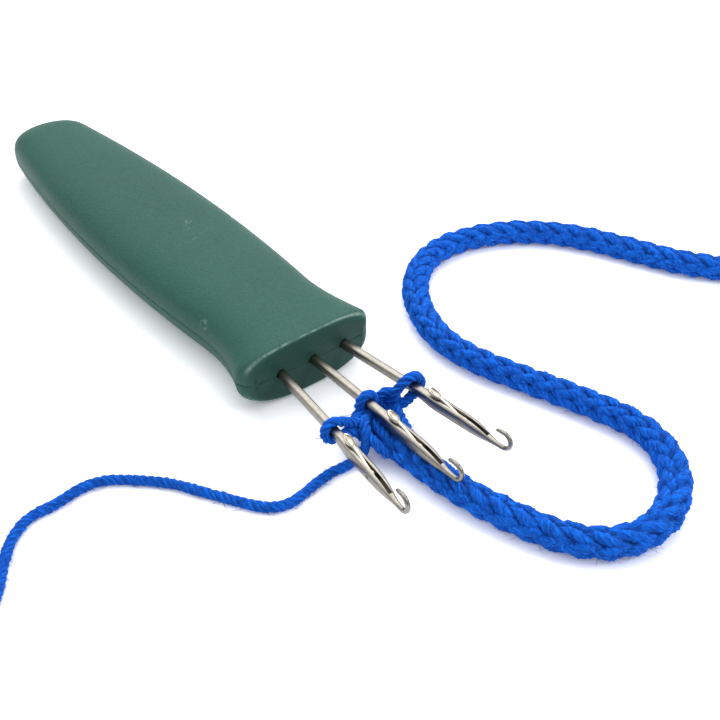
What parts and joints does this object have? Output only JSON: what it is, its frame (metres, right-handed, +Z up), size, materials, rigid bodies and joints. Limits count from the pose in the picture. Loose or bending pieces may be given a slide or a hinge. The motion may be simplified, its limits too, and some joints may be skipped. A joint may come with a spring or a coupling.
{
  "type": "i-cord maker",
  "caption": "Hand knitting tool with a two-shell plastic grip and fanned latch needles in front, shown with a knitted blue cord hanging from its loops.",
  "frame": {"origin": "centre of the tool's footprint on the surface it lies on, with the yarn left out: halfway between the tail of the grip and the tips of the hooks", "axes": "+X along the tool from the grip towards the hooks, +Y to the left of someone who holds it with the hooks ahead, +Z up; the parting plane of the grip is at z = 8.1 mm"},
  "size_m": [0.226, 0.2871, 0.0162],
  "materials": {
    "green_plastic": "moulded dark sage green plastic with a fine satin texture",
    "needle_steel": "bright nickel plated steel wire",
    "latch_steel": "polished pressed steel, slightly warm",
    "blue_yarn": "soft plied bright blue yarn"
  },
  "bodies": {
    "handle": {"handle_upper_shell": "green_plastic", "handle_lower_shell": "green_plastic", "needle_left": "needle_steel", "needle_middle": "needle_steel", "needle_right": "needle_steel", "latch_rivet_left": "needle_steel", "latch_rivet_middle": "needle_steel", "latch_rivet_right": "needle_steel", "stitch_left": "blue_yarn", "stitch_middle": "blue_yarn", "stitch_right": "blue_yarn", "knit_head": "blue_yarn", "i_cord": "blue_yarn", "cast_on_knot": "blue_yarn", "i_cord_tail": "blue_yarn", "working_yarn": "blue_yarn", "yarn_coil": "blue_yarn"},
    "latch_left": {"latch_left": "latch_steel"},
    "latch_middle": {"latch_middle": "latch_steel"},
    "latch_right": {"latch_right": "latch_steel"}
  },
  "joints": [
    {"name": "latch_left_hinge", "type": "hinge", "parent": "handle", "child": "latch_left", "pos_m": [0.0843, 0.01284, 0.0077], "axis": [-0.1037, 0.9946, 0], "range_deg": [0, 139]},
    {"name": "latch_middle_hinge", "type": "hinge", "parent": "handle", "child": "latch_middle", "pos_m": [0.0845, 0, 0.0077], "axis": [0, 1, 0], "range_deg": [0, 139]},
    {"name": "latch_right_hinge", "type": "hinge", "parent": "handle", "child": "latch_right", "pos_m": [0.0843, -0.01284, 0.0077], "axis": [0.1037, 0.9946, 0], "range_deg": [0, 139]}
  ]
}
